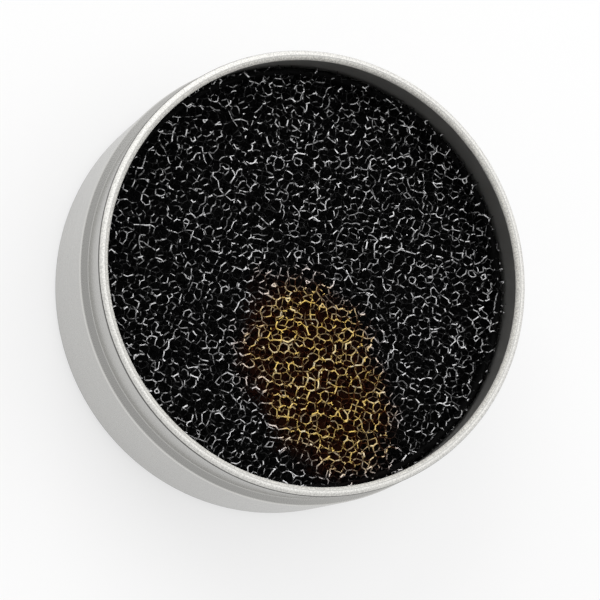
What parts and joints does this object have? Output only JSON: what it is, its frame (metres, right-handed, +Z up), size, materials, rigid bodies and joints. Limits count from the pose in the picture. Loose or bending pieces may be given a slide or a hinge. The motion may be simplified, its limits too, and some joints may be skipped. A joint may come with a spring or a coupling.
{
  "type": "brush cleaner sponge tin",
  "caption": "Shallow round aluminium tin with a curled rim and stepped neck, holding a black open-cell sponge disc for wiping colour off dry makeup brushes.",
  "frame": {"origin": "middle of the tin's underside, on the surface that it stands on", "axes": "+Z up out of the mouth along the tin's axis; the tin is round, so +X and +Y are free"},
  "size_m": [0.08, 0.08, 0.0295],
  "materials": {
    "tin_metal": "satin",
    "sponge_foam": "matte"
  },
  "bodies": {
    "tin": {"tin_body": "tin_metal"},
    "sponge": {"sponge_disc": "sponge_foam"}
  },
  "joints": [
    {"name": "sponge_lift", "type": "slide", "parent": "tin", "child": "sponge", "axis": [0, 0, 1], "range_m": [0, 0.045]}
  ]
}
